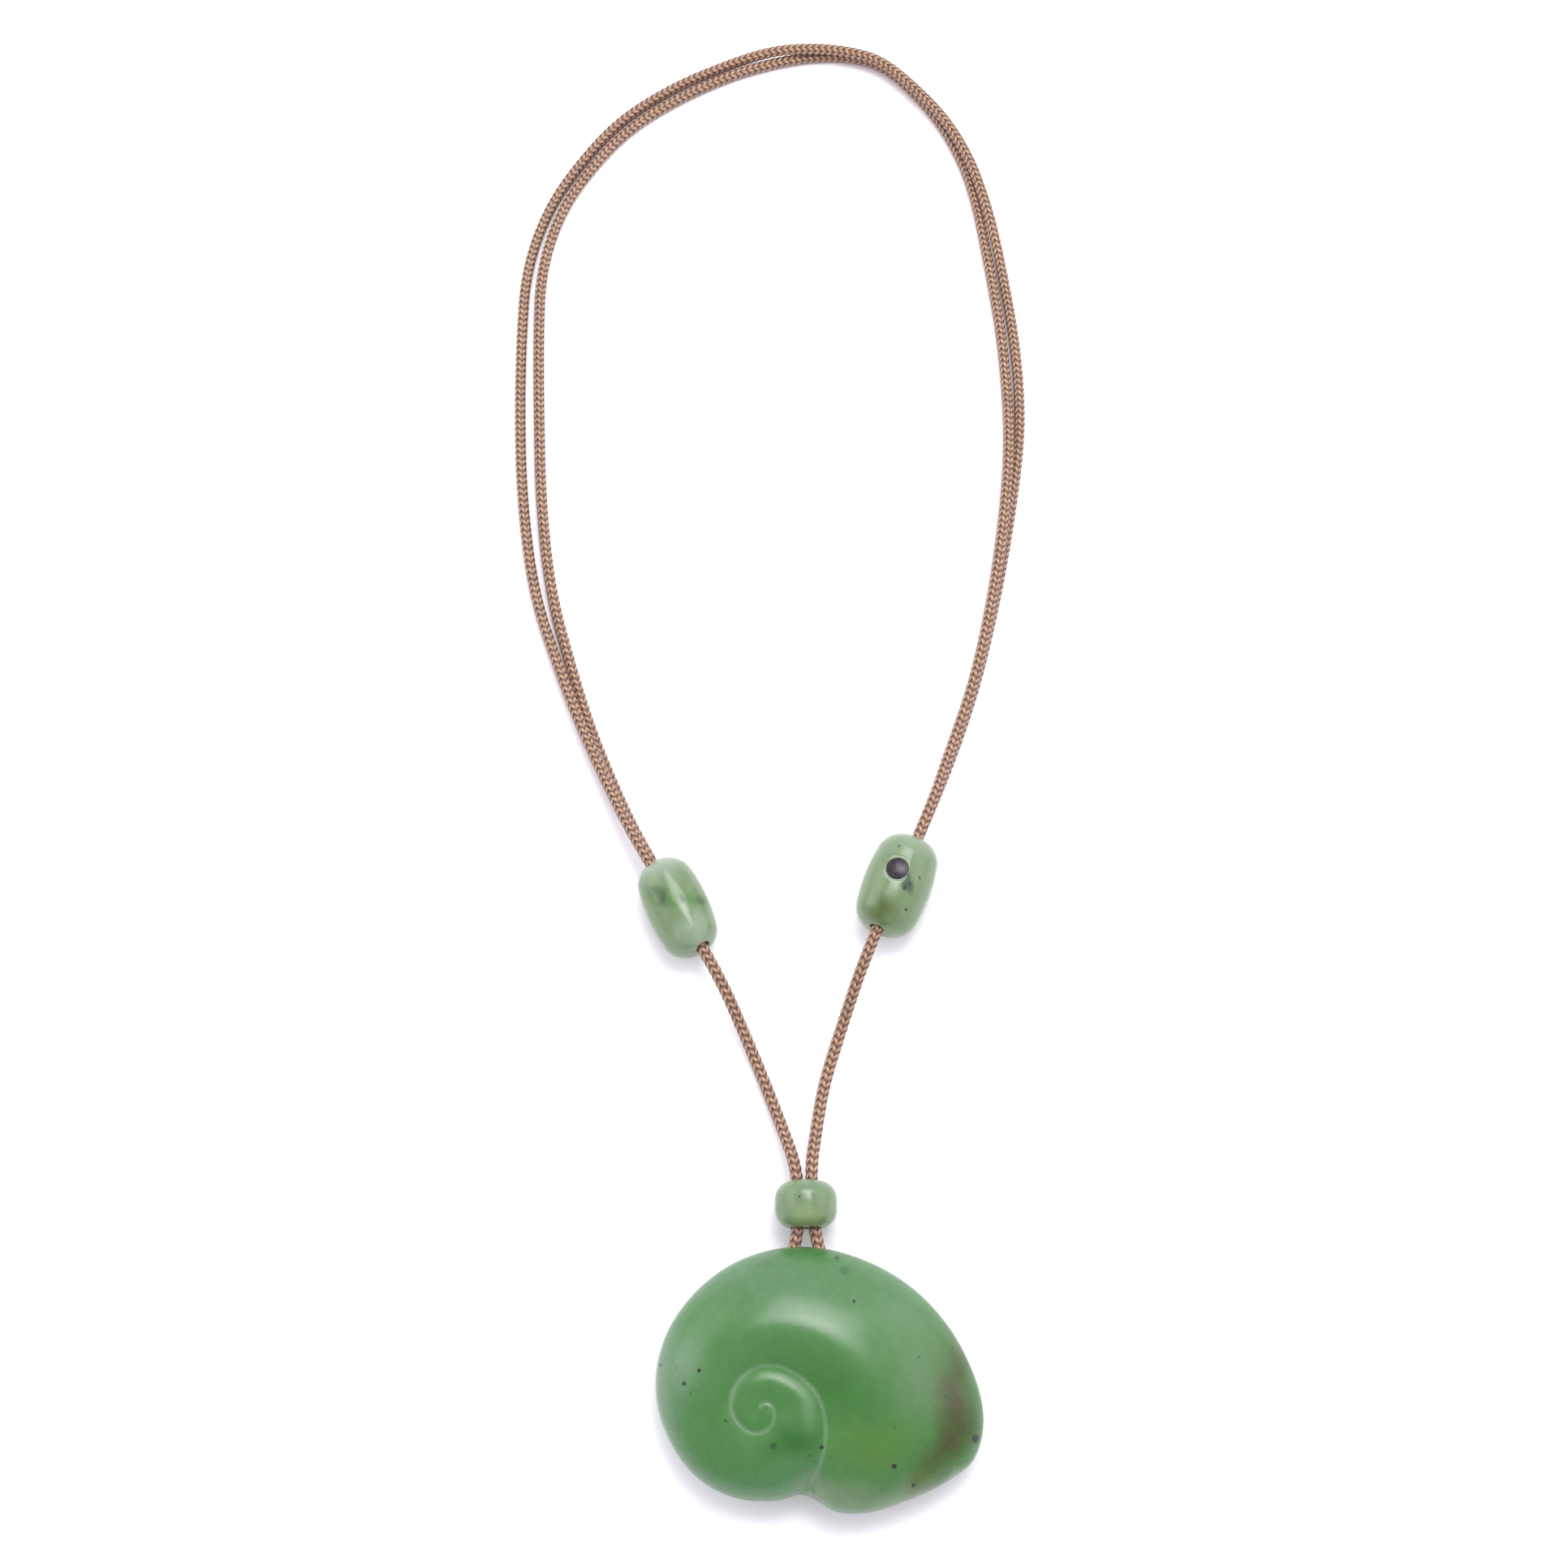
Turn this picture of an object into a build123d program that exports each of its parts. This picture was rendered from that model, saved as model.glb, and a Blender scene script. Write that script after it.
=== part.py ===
from build123d import *
import math
import os

# Jade seashell pendant on a braided cord, in millimetres.
# The piece lies on a flat surface at z = 0: +X is to the right, +Y goes up towards the nape and +Z is up.
# The origin is on the flat back of the shell, under the tip of its spiral.

# Cord
CORD_DIAMETER = 2.0
BORE_ROOM = 0.2            # between the cord and the wall of each hole, all round
BORE_DIAMETER = CORD_DIAMETER + 2 * BORE_ROOM
CORNER_SHARE = 0.45        # of the shorter run, taken up by the arc at a corner

# Shell
SHELL_REACH = 32.2         # from the tip of the spiral to the far end of the lip
EDGE_HEIGHT = 4.8          # where the shell is widest
SPIRE_HEIGHT = 12.4        # at the tip of the spiral
CREST_RISE = 1.6           # what the body whorl stands above a plain dome
CREST_DIRECTION = 310.0    # degrees clockwise from +X, seen from above
DOME_POWER = 3.0           # fuller than an ellipse
GROOVE_DEPTH = 2.2
GROOVE_INNER_SHARE = 0.50  # width of the groove on the tip's side, as a share of the distance from the tip
GROOVE_OUTER_SHARE = 1.20  # and on the lip's side
EASE_TURN = 378            # from this turn on the inner whorl slopes down to meet the edge at the notch
BACK_INSET = 4.0           # how far the underside curves in before it meets the flat back

# Spiral line: turn in degrees clockwise from +X, its distance from the tip as a share of SHELL_REACH,
# and the groove's depth there as a share of GROOVE_DEPTH. It is the groove between the whorls up to the
# notch, and from there on the outline of the shell, once round to the notch again.
SPIRAL = [
    # turn, reach, depth
    (-59, 0.000, 0.00),
    (-8, 0.046, 0.05),
    (35, 0.073, 0.10),
    (60, 0.092, 0.13),
    (85, 0.107, 0.15),
    (110, 0.114, 0.17),
    (145, 0.118, 0.18),
    (190, 0.132, 0.24),
    (240, 0.153, 0.38),
    (285, 0.181, 0.56),
    (320, 0.210, 0.56),
    (350, 0.256, 0.48),
    (380, 0.304, 0.36),
    (400, 0.346, 0.22),
    (421, 0.397, 0.00),
    (450, 0.390, 0.00),
    (485, 0.401, 0.00),
    (520, 0.428, 0.00),
    (545, 0.473, 0.00),
    (573, 0.532, 0.00),
    (597, 0.587, 0.00),
    (621, 0.659, 0.00),
    (645, 0.738, 0.00),
    (665, 0.803, 0.00),
    (688, 0.891, 0.00),
    (706, 0.955, 0.00),
    (722, 1.000, 0.00),
    (733, 0.973, 0.00),
    (740, 0.889, 0.00),
    (750, 0.765, 0.00),
    (766, 0.614, 0.00),
    (775, 0.5155, 0.00),
    (781, 0.397, 0.00),
]
FULL_TURN = 360
FIRST_TURN = SPIRAL[0][0]
LAST_TURN = SPIRAL[-1][0]
NOTCH_TURN = LAST_TURN - FULL_TURN
COLUMNS_PER_TURN = 90
WHORL_ROWS = 9             # facets across a whorl
BACK_ROWS = 4              # facets round the lower edge

# Spacer bead, round about the +Y axis
SPACER_CENTRE = (6.6, 29.17)
SPACER_RADIUS = 4.7
SPACER_LENGTH = 6.9
SPACER_END_RADIUS = 4.2    # of the barrel at its ends, before they are rounded
SPACER_ROUNDING = 2.6
SPACER_STRAND_PITCH = 2.5  # between the two strands in its slot

# Slide beads: heading in degrees from +Y towards +X
LEFT_CENTRE = (-13.5, 75.4)
LEFT_HEADING = -25.0
LEFT_RADIUS = 5.0
LEFT_LENGTH = 16.5
LEFT_END_RADIUS = 3.7
LEFT_ROUNDING = 4.0
RIGHT_CENTRE = (21.2, 78.9)
RIGHT_HEADING = 21.0
RIGHT_RADIUS = 5.45
RIGHT_LENGTH = 16.5
RIGHT_END_RADIUS = 4.2
RIGHT_ROUNDING = 4.0

ROUNDING_LIMIT = 0.85      # of a bead's radius or half length

# Inlay in the right slide bead
INLAY_RADIUS = 1.75
INLAY_ALONG = 1.1          # from the bead's middle, along its heading
INLAY_TURN = -7.0          # degrees about the bead's length, off its crown
INLAY_DEPTH = 1.0
INLAY_ROOM = 0.05          # round the inlay in its seat
INLAY_SEAT_RADIUS = 2.3    # flat spot ground into the bead's crown round the inlay
INLAY_SEAT_DROP = 0.35     # the flat spot's depth below the crown
INLAY_DOME = 0.3           # the inlay's rounded top above the flat spot

# The cord's route, end to end, through the middle of the cord
CORD_ROUTE = [
    # fixed end in the right slide bead, up the right side as the outer strand
    (21.2, 79.4, 4), (26.1, 90.2, 4), (30.7, 102.1, 1), (34.8, 113.8, 1), (38.1, 126.4, 1),
    (40.9, 139.3, 1), (43.1, 151.9, 1), (44.5, 161.7, 1), (44.9, 171, 1), (44.4, 182.7, 1),
    (43, 194.7, 1), (41.6, 203, 2.25), (40, 210.7, 2.75), (37.5, 219.6, 3), (33.2, 228.4, 3.15),
    # over the inner strand, behind the nape
    (27.5, 235.7, 3.1), (21.4, 241.9, 3.05), (14.7, 243.9, 3.1), (8.2, 244.4, 3.15), (2.6, 244.2, 2.85),
    (-2.2, 243.5, 2.1), (-7.7, 242.1, 1), (-17, 237.4, 1), (-27.1, 229.8, 1), (-34.1, 220.4, 1),
    # down the left side
    (-39.9, 210, 1), (-43.4, 196.7, 1), (-43.6, 181.8, 1), (-43.1, 165.2, 1), (-41.9, 149.1, 1),
    (-39.2, 131.9, 1), (-34.3, 117.9, 1.9), (-30.3, 107.5, 2.65), (-25.8, 97.7, 2.95),
    # through the left slide bead, the spacer bead and the shell, where it turns back
    (-20.2, 85.85, 6.5), (-7.35, 65.45, 6.5), (-2.2, 54.4, 1.5), (0.6, 47.6, 1), (3, 41.2, 1.9),
    (5.4, 34.1, 4.7), (5.45, 25.9, 4.7), (4.72, 22.1, 4.75), (4.35, 17.2, 4.8), (9.1, 17.2, 4.8),
    (8.72, 22.1, 4.75), (7.75, 25.9, 4.7), (7.29, 34.1, 4.7), (8.3, 41, 2.2), (9.5, 48.2, 1),
    # through the right slide bead and up the right side as the inner strand
    (12.2, 56.6, 1.3), (16.4, 68.3, 6.9), (26.3, 90.1, 6.9), (30.4, 102.2, 3.15), (34.6, 113.9, 3.15),
    (37.7, 126.5, 3.1), (40.1, 139.5, 3), (41.8, 152, 2.65), (42.6, 161.8, 2), (42.7, 171, 1),
    (42.2, 182.6, 1), (40.9, 194.4, 1), (39.8, 202.7, 1), (38.8, 210.4, 1), (36.8, 219.3, 1),
    # under the outer strand, behind the nape
    (33.1, 228.3, 1), (27.8, 236.1, 1), (21.8, 242.5, 1), (14.8, 244.4, 1), (8.2, 244.2, 1),
    (2.8, 243.1, 1), (-1.7, 241.7, 1), (-6.7, 239.9, 1), (-15.6, 235.2, 1), (-25.3, 228.1, 1),
    # down the left side to the fixed end in the left slide bead
    (-32.2, 219.2, 1), (-37.7, 209.2, 1), (-40.7, 196.4, 1), (-40.5, 181.8, 1), (-39.7, 165.4, 1),
    (-38.7, 149.4, 1), (-36.4, 132.5, 1), (-32.4, 118.5, 1), (-29, 107.9, 1), (-25, 98, 1),
    (-19.65, 86.1, 3.5), (-13.3, 76, 3.5),
]
LEFT_RUN_INDEX = 34        # place in the route of the first point of the run through the left slide bead
TUNNEL_START_INDEX = 40    # of the stretch from the spacer bead round through the shell
TUNNEL_END_INDEX = 45      # and of its last point
RIGHT_RUN_INDEX = 50       # of the run through the right slide bead


def spiral_value(turn, column):
    """Value of a column of the spiral table at a turn, on a smooth line through its rows."""
    last = len(SPIRAL) - 1
    row = max(index for index in range(last) if SPIRAL[index][0] <= turn)
    start, end = SPIRAL[row], SPIRAL[row + 1]
    span = end[0] - start[0]
    t = (turn - start[0]) / span

    def slope(index):
        before = SPIRAL[max(index - 1, 0)]
        after = SPIRAL[min(index + 1, last)]
        return (after[column] - before[column]) / (after[0] - before[0])

    rise = end[column] - start[column]
    m, n = slope(row) * span, slope(row + 1) * span
    return start[column] + t * m + t ** 2 * (3 * rise - 2 * m - n) + t ** 3 * (m + n - 2 * rise)


def reach(turn):
    """Distance of the spiral line from the tip; nothing before its first turn."""
    return SHELL_REACH * spiral_value(turn, 1) if turn > FIRST_TURN else 0.0


def inner_edge(turn):
    """Where the dome of the inner whorl would end: the outline, eased to meet the groove at the notch."""
    eased = min(max((turn - EASE_TURN) / (NOTCH_TURN - EASE_TURN), 0.0), 1.0)
    eased = eased ** 2 * (3 - 2 * eased)
    return (1 - eased) * reach(turn + FULL_TURN) + eased * reach(NOTCH_TURN)


def dome_share(share):
    """Height of a dome of height 1 at a share of the way to its edge."""
    return math.sqrt(max(0.0, 1 - share ** DOME_POWER))


def dome_height(turn, share):
    """Height of the smooth front with its raised crest, at a share of the way to its edge."""
    towards_crest = 0.5 + 0.5 * math.cos(math.radians(turn - CREST_DIRECTION))
    crest = CREST_RISE * (towards_crest * 4 * share * (1 - share)) ** 2
    return EDGE_HEIGHT + (SPIRE_HEIGHT - EDGE_HEIGHT) * dome_share(share) + crest


def nearness(radius, line, edge):
    """1 on the line of a groove, falling to 0 at the groove's two sides."""
    if radius == line:
        return 1.0
    if radius < line:
        width = GROOVE_INNER_SHARE * line
    else:
        width = min(GROOVE_OUTER_SHARE * line, edge - line)
    return max(0.0, 1 - abs(radius - line) / width) ** 2


def front_height(turn, radius):
    """Height of the front at a distance from the tip: the domes of the whorls, less the grooves."""
    while turn < NOTCH_TURN:
        turn += FULL_TURN
    edge = reach(turn)
    line_turn = turn - FULL_TURN
    line, line_edge = reach(line_turn), inner_edge(line_turn)
    if radius <= line:
        height = dome_height(turn, radius / line_edge)
    else:
        step = dome_height(turn, line / line_edge) - dome_height(turn, line / edge)
        height = dome_height(turn, min(radius / edge, 1.0)) + step * nearness(radius, line, edge)
    while line_turn > FIRST_TURN:
        line = reach(line_turn)
        depth = GROOVE_DEPTH * spiral_value(line_turn, 2) * dome_share(line / line_edge)
        height -= depth * nearness(radius, line, edge)
        line_turn -= FULL_TURN
    return height


def shell_point(turn, radius, height):
    angle = math.radians(turn)
    return (round(radius * math.cos(angle), 5), round(-radius * math.sin(angle), 5), round(height, 5))


def whorl_column(turn):
    """Points across the whorl at one turn, from the groove one turn back out to the spiral line."""
    inner, outer = reach(turn - FULL_TURN), reach(turn)
    column = []
    for row in range(WHORL_ROWS + 1):
        share = 0.5 - 0.5 * math.cos(math.pi * row / WHORL_ROWS)
        radius = inner + share * (outer - inner)
        column.append(shell_point(turn, radius, front_height(turn, radius)))
    return column


def back_column(turn):
    """Points from the widest line round under the edge to the flat back and in to the middle."""
    outline = reach(turn)
    column = []
    for row in range(BACK_ROWS + 1):
        angle = math.pi / 2 * row / BACK_ROWS
        radius = outline - BACK_INSET * (1 - math.cos(angle))
        column.append(shell_point(turn, radius, EDGE_HEIGHT * (1 - math.sin(angle))))
    column.append((0.0, 0.0, 0.0))
    return column


def triangles_between(first, second):
    """Triangles between two neighbouring columns, without those that have shrunk to a line."""
    found = []
    for row in range(len(first) - 1):
        a, b, c, d = first[row], second[row], second[row + 1], first[row + 1]
        for triangle in ((a, b, c), (a, c, d)):
            if len(set(triangle)) == 3:
                found.append(triangle)
    return found


def make_shell_blank():
    step = FULL_TURN / COLUMNS_PER_TURN
    count = math.ceil((LAST_TURN - FIRST_TURN) / step)
    turns = [max(FIRST_TURN, LAST_TURN - step * column) for column in range(count, -1, -1)]
    whorls = [whorl_column(turn) for turn in turns]
    backs = [back_column(turn) for turn in turns[-COLUMNS_PER_TURN - 1:]]
    triangles = []
    for first, second in zip(whorls, whorls[1:]):
        triangles += triangles_between(first, second)
    for first, second in zip(backs, backs[1:]):
        triangles += triangles_between(first, second)
    faces = [Face(Wire.make_polygon([Vector(*corner) for corner in triangle])) for triangle in triangles]
    return Solid(Shell(faces))


def corner_radii(points):
    """As large an arc at each corner as its two runs leave room for."""
    radii = []
    for before, corner, after in zip(points, points[1:], points[2:]):
        arriving = Vector(*corner) - Vector(*before)
        leaving = Vector(*after) - Vector(*corner)
        half_turn = math.radians(arriving.get_angle(leaving)) / 2
        radii.append(CORNER_SHARE * min(arriving.length, leaving.length) / math.tan(half_turn))
    return radii


def rounded_path(points):
    return FilletPolyline(*points, radius=corner_radii(points))


def tube(points, diameter):
    path = rounded_path(points)
    start = Plane(origin=path @ 0, z_dir=path % 0)
    return sweep(start * Circle(diameter / 2), path=path)


def bore(start, end):
    """Round hole for the cord along one straight run of its route."""
    run = Vector(*end) - Vector(*start)
    return Solid.make_cylinder(BORE_DIAMETER / 2, run.length, Plane(origin=start, z_dir=run))


def make_barrel(length, radius, end_radius, rounding):
    """Barrel bead about the Y axis, its ends rounded over."""
    half = length / 2
    rounding = min(rounding, ROUNDING_LIMIT * radius, ROUNDING_LIMIT * half)
    belly = ThreePointArc((end_radius, -half), (radius, 0), (end_radius, half))
    ends = Polyline((end_radius, half), (0, half), (0, -half), (end_radius, -half))
    profile = make_face(belly + ends)
    rims = profile.vertices().group_by(Axis.X)[-1]
    return revolve(fillet(rims, rounding), Axis.Y)


def make_shell_pendant():
    tunnel = CORD_ROUTE[TUNNEL_START_INDEX:TUNNEL_END_INDEX + 1]
    return make_shell_blank() - tube(tunnel, BORE_DIAMETER)


def make_spacer_bead():
    barrel = make_barrel(SPACER_LENGTH, SPACER_RADIUS, SPACER_END_RADIUS, SPACER_ROUNDING)
    slot = SlotCenterToCenter(SPACER_STRAND_PITCH, BORE_DIAMETER)
    bead = barrel - extrude(Plane.XZ * slot, SPACER_LENGTH, both=True)
    return Pos(*SPACER_CENTRE, SPACER_RADIUS) * bead


def make_left_slide_bead():
    barrel = make_barrel(LEFT_LENGTH, LEFT_RADIUS, LEFT_END_RADIUS, LEFT_ROUNDING)
    bead = Pos(*LEFT_CENTRE, LEFT_RADIUS) * Rot(0, 0, -LEFT_HEADING) * barrel
    running = bore(*CORD_ROUTE[LEFT_RUN_INDEX:LEFT_RUN_INDEX + 2])
    blind = bore(CORD_ROUTE[-1], CORD_ROUTE[-2])
    return bead - running - blind


def right_bead_place():
    return Pos(*RIGHT_CENTRE, RIGHT_RADIUS) * Rot(0, 0, -RIGHT_HEADING)


def inlay_place():
    """Middle of the inlay's flat spot, near the crown of the right slide bead."""
    return right_bead_place() * Rot(0, INLAY_TURN, 0) * Pos(0, INLAY_ALONG, RIGHT_RADIUS - INLAY_SEAT_DROP)


def make_right_slide_bead():
    barrel = make_barrel(RIGHT_LENGTH, RIGHT_RADIUS, RIGHT_END_RADIUS, RIGHT_ROUNDING)
    running = bore(*CORD_ROUTE[RIGHT_RUN_INDEX:RIGHT_RUN_INDEX + 2])
    blind = bore(CORD_ROUTE[0], CORD_ROUTE[1])
    standing = (Align.CENTER, Align.CENTER, Align.MIN)
    hanging = (Align.CENTER, Align.CENTER, Align.MAX)
    flat_spot = inlay_place() * Cylinder(INLAY_SEAT_RADIUS, RIGHT_RADIUS, align=standing)
    seat = inlay_place() * Cylinder(INLAY_RADIUS + INLAY_ROOM, INLAY_DEPTH, align=hanging)
    return right_bead_place() * barrel - running - blind - flat_spot - seat


def make_inlay_disc():
    """Disc with a slightly rounded top, sitting on the bottom of its seat."""
    top = ThreePointArc((-INLAY_RADIUS, 0), (0, INLAY_DOME), (INLAY_RADIUS, 0)).trim(0.5, 1)
    sides = Polyline((0, INLAY_DOME), (0, -INLAY_DEPTH), (INLAY_RADIUS, -INLAY_DEPTH), (INLAY_RADIUS, 0))
    return inlay_place() * revolve(Plane.XZ * make_face(top + sides), Axis.Z)


def make_neck_cord():
    cord = tube(CORD_ROUTE, CORD_DIAMETER)
    length = rounded_path(CORD_ROUTE).length
    section = math.pi * CORD_DIAMETER ** 2 / 4
    print(f"cord: {length:.1f} mm long, {cord.volume:.1f} mm3, section x length {section * length:.1f} mm3")
    print("arc radii, mm:", " ".join(f"{radius:.1f}" for radius in corner_radii(CORD_ROUTE)))
    return cord


PARTS = {
    "shell_pendant": make_shell_pendant,
    "spacer_bead": make_spacer_bead,
    "slide_bead_left": make_left_slide_bead,
    "slide_bead_right": make_right_slide_bead,
    "inlay_disc": make_inlay_disc,
    "neck_cord": make_neck_cord,
}

os.makedirs("parts", exist_ok=True)
for name, make in PARTS.items():
    part = make()
    export_step(part, f"parts/{name}.step")
    print(f"{name}: {part.volume:.1f} mm3")
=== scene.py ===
# %% [markdown]
# Jade seashell pendant on a braided cord.
# The real object is a sea snail's shell carved from green nephrite jade. It hangs on a thin braided cord
# that goes twice round the neck, through two long jade beads that slide on it, and once through a short
# bead above the shell. The CAD model already gives each piece its size and its place, so nothing here is
# moved. What this file adds is what an eye meets close up: the cord's braid, the smooth carving of the
# shell, and the colour inside each stone.

# %% Load the CAD model
import math

import bpy
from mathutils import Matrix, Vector, kdtree


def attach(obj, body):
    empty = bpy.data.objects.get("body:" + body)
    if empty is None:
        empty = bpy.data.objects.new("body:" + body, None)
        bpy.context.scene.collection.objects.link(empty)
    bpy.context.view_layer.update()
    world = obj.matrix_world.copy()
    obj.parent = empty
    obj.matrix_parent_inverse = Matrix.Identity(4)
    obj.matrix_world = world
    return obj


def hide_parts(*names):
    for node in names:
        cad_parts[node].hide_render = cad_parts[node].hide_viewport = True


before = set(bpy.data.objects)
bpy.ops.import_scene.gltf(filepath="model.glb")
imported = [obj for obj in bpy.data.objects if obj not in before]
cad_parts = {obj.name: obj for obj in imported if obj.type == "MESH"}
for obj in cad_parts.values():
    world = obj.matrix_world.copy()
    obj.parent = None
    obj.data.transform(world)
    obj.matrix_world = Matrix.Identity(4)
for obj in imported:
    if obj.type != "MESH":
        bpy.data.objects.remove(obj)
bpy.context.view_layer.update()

MM = 0.001                       # one millimetre in metres
print("CAD nodes:", ", ".join(sorted(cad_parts)))

# %% [markdown]
# The camera comes first. The necklace lies on a table and was photographed from above the shell's end, 70
# degrees up from the table. The sides of the loop hardly lean together towards the nape, which tells how far
# away the camera stood: about 32 cm.
# Its focal length then follows from how large the 47 mm shell is in the picture.

# %% Camera
IMAGE_SIDE = 1932                # pixels
FOCAL_LENGTH = 2400              # in the same pixels
SENSOR_WIDTH = 36.0              # mm
CAMERA_ELEVATION = math.radians(70)
CAMERA_DISTANCE = 0.320
CAMERA_AIM = Vector((0.00332, 0.09799, 0.0))

bpy.ops.object.select_all(action="DESELECT")
towards_camera = Vector((0, -math.cos(CAMERA_ELEVATION), math.sin(CAMERA_ELEVATION)))
bpy.ops.object.camera_add(
    location=CAMERA_AIM + CAMERA_DISTANCE * towards_camera,
    rotation=(math.pi / 2 - CAMERA_ELEVATION, 0, 0),
)
camera = bpy.context.object
camera.name = "photo_camera"
camera.data.sensor_width = SENSOR_WIDTH
camera.data.lens = SENSOR_WIDTH * FOCAL_LENGTH / IMAGE_SIDE
camera.data.clip_start = 0.01
bpy.context.scene.camera = camera
print(f"camera: {camera.data.lens:.1f} mm lens, {CAMERA_DISTANCE * 1000:.0f} mm from where it looks")

# %% [markdown]
# The cord is one length of soft round braid, a little over 0.9 m. It starts inside the right slide bead,
# goes round the neck to the left slide bead, down through the short bead and the tunnel in the shell, back
# up through the short bead and the right slide bead, round the neck again, and ends inside the left slide
# bead. A cord that lies on a table is one flowing line. A poly curve would show its corners and Bezier
# handles would need care at every point. A NURBS spline flows by itself between a few given points, so it
# is used here. Its order is set after its points are there: set earlier, Blender keeps it at straight runs.

# %% The cord's route
CORD_DIAMETER = 2.0 * MM
CORD_ROUTE = [
    # fixed end in the right slide bead, up the right side as the outer strand
    (0.0212, 0.0794, 0.004), (0.0261, 0.0902, 0.004), (0.0307, 0.1021, 0.001),
    (0.0348, 0.1138, 0.001), (0.0381, 0.1264, 0.001),
    (0.0409, 0.1393, 0.001), (0.0431, 0.1519, 0.001), (0.0445, 0.1617, 0.001),
    (0.0449, 0.171, 0.001), (0.0444, 0.1827, 0.001),
    (0.043, 0.1947, 0.001), (0.0416, 0.203, 0.00225), (0.04, 0.2107, 0.00275),
    (0.0375, 0.2196, 0.003), (0.0332, 0.2284, 0.00315),
    # over the inner strand, behind the nape
    (0.0275, 0.2357, 0.0031), (0.0214, 0.2419, 0.00305), (0.0147, 0.2439, 0.0031),
    (0.0082, 0.2444, 0.00315), (0.0026, 0.2442, 0.00285),
    (-0.0022, 0.2435, 0.0021), (-0.0077, 0.2421, 0.001), (-0.017, 0.2374, 0.001),
    (-0.0271, 0.2298, 0.001), (-0.0341, 0.2204, 0.001),
    # down the left side
    (-0.0399, 0.21, 0.001), (-0.0434, 0.1967, 0.001), (-0.0436, 0.1818, 0.001),
    (-0.0431, 0.1652, 0.001), (-0.0419, 0.1491, 0.001),
    (-0.0392, 0.1319, 0.001), (-0.0343, 0.1179, 0.0019), (-0.0303, 0.1075, 0.00265),
    (-0.0258, 0.0977, 0.00295),
    # through the left slide bead, the spacer bead and the shell, where it turns back
    (-0.0202, 0.08585, 0.0065), (-0.00735, 0.06545, 0.0065), (-0.0022, 0.0544, 0.0015),
    (0.0006, 0.0476, 0.001), (0.003, 0.0412, 0.0019),
    (0.0054, 0.0341, 0.0047), (0.00545, 0.0259, 0.0047), (0.00472, 0.0221, 0.00475),
    (0.00435, 0.0172, 0.0048), (0.0091, 0.0172, 0.0048),
    (0.00872, 0.0221, 0.00475), (0.00775, 0.0259, 0.0047), (0.00729, 0.0341, 0.0047),
    (0.0083, 0.041, 0.0022), (0.0095, 0.0482, 0.001),
    # through the right slide bead and up the right side as the inner strand
    (0.0122, 0.0566, 0.0013), (0.0164, 0.0683, 0.0069), (0.0263, 0.0901, 0.0069),
    (0.0304, 0.1022, 0.00315), (0.0346, 0.1139, 0.00315),
    (0.0377, 0.1265, 0.0031), (0.0401, 0.1395, 0.003), (0.0418, 0.152, 0.00265),
    (0.0426, 0.1618, 0.002), (0.0427, 0.171, 0.001),
    (0.0422, 0.1826, 0.001), (0.0409, 0.1944, 0.001), (0.0398, 0.2027, 0.001),
    (0.0388, 0.2104, 0.001), (0.0368, 0.2193, 0.001),
    # under the outer strand, behind the nape
    (0.0331, 0.2283, 0.001), (0.0278, 0.2361, 0.001), (0.0218, 0.2425, 0.001),
    (0.0148, 0.2444, 0.001), (0.0082, 0.2442, 0.001),
    (0.0028, 0.2431, 0.001), (-0.0017, 0.2417, 0.001), (-0.0067, 0.2399, 0.001),
    (-0.0156, 0.2352, 0.001), (-0.0253, 0.2281, 0.001),
    # down the left side to the fixed end in the left slide bead
    (-0.0322, 0.2192, 0.001), (-0.0377, 0.2092, 0.001), (-0.0407, 0.1964, 0.001),
    (-0.0405, 0.1818, 0.001), (-0.0397, 0.1654, 0.001),
    (-0.0387, 0.1494, 0.001), (-0.0364, 0.1325, 0.001), (-0.0324, 0.1185, 0.001),
    (-0.029, 0.1079, 0.001), (-0.025, 0.098, 0.001),
    (-0.01965, 0.0861, 0.0035), (-0.0133, 0.076, 0.0035),
]
TUNNEL_START = 40                # place in the route where it comes down from the short bead into the shell
TUNNEL_END = 45                  # and where it is back up at the short bead
ROUTE_RESOLUTION = 40            # pieces of the line between two points of the route


def route_spline(name, points, resolution):
    """A curve object of one smooth spline with these points as its control points."""
    curve = bpy.data.curves.new(name, "CURVE")
    curve.dimensions = "3D"
    curve.resolution_u = resolution
    spline = curve.splines.new("NURBS")
    spline.points.add(len(points) - 1)
    for control, point in zip(spline.points, points):
        control.co = (*point, 1.0)
    spline.order_u = 3
    spline.use_endpoint_u = True
    spline.resolution_u = resolution
    thing = bpy.data.objects.new(name, curve)
    bpy.context.scene.collection.objects.link(thing)
    return thing


def read_line(thing):
    """The points of a curve with no bevel, as Blender draws it."""
    mesh = bpy.data.meshes.new_from_object(thing)
    line = [vertex.co.copy() for vertex in mesh.vertices]
    bpy.data.meshes.remove(mesh)
    return line


route = route_spline("cord_route", CORD_ROUTE, ROUTE_RESOLUTION)
cord_line = read_line(route)
line_length = sum((b - a).length for a, b in zip(cord_line, cord_line[1:]))
print(f"cord line: {len(cord_line)} points, {line_length * 1000:.1f} mm long")

# %% [markdown]
# The braid is made of sixteen strands, eight that wind to the right and eight to the left. Each one goes
# over two, under two. A bump map would give the same look from far away, but the outline would stay a
# smooth tube, so the strands are real here. On a braid that repeats evenly, the picks stand in eight
# columns round the cord. Strands to the right are on top in every other column and strands to the left in
# the others, so one cosine of the angle round the cord lifts each strand over its crossings and lowers it
# under them.
# The picks seen in the photograph are 1.17 mm apart in a column, and eight strands share one turn, which
# gives a turn of 9.4 mm.

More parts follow.
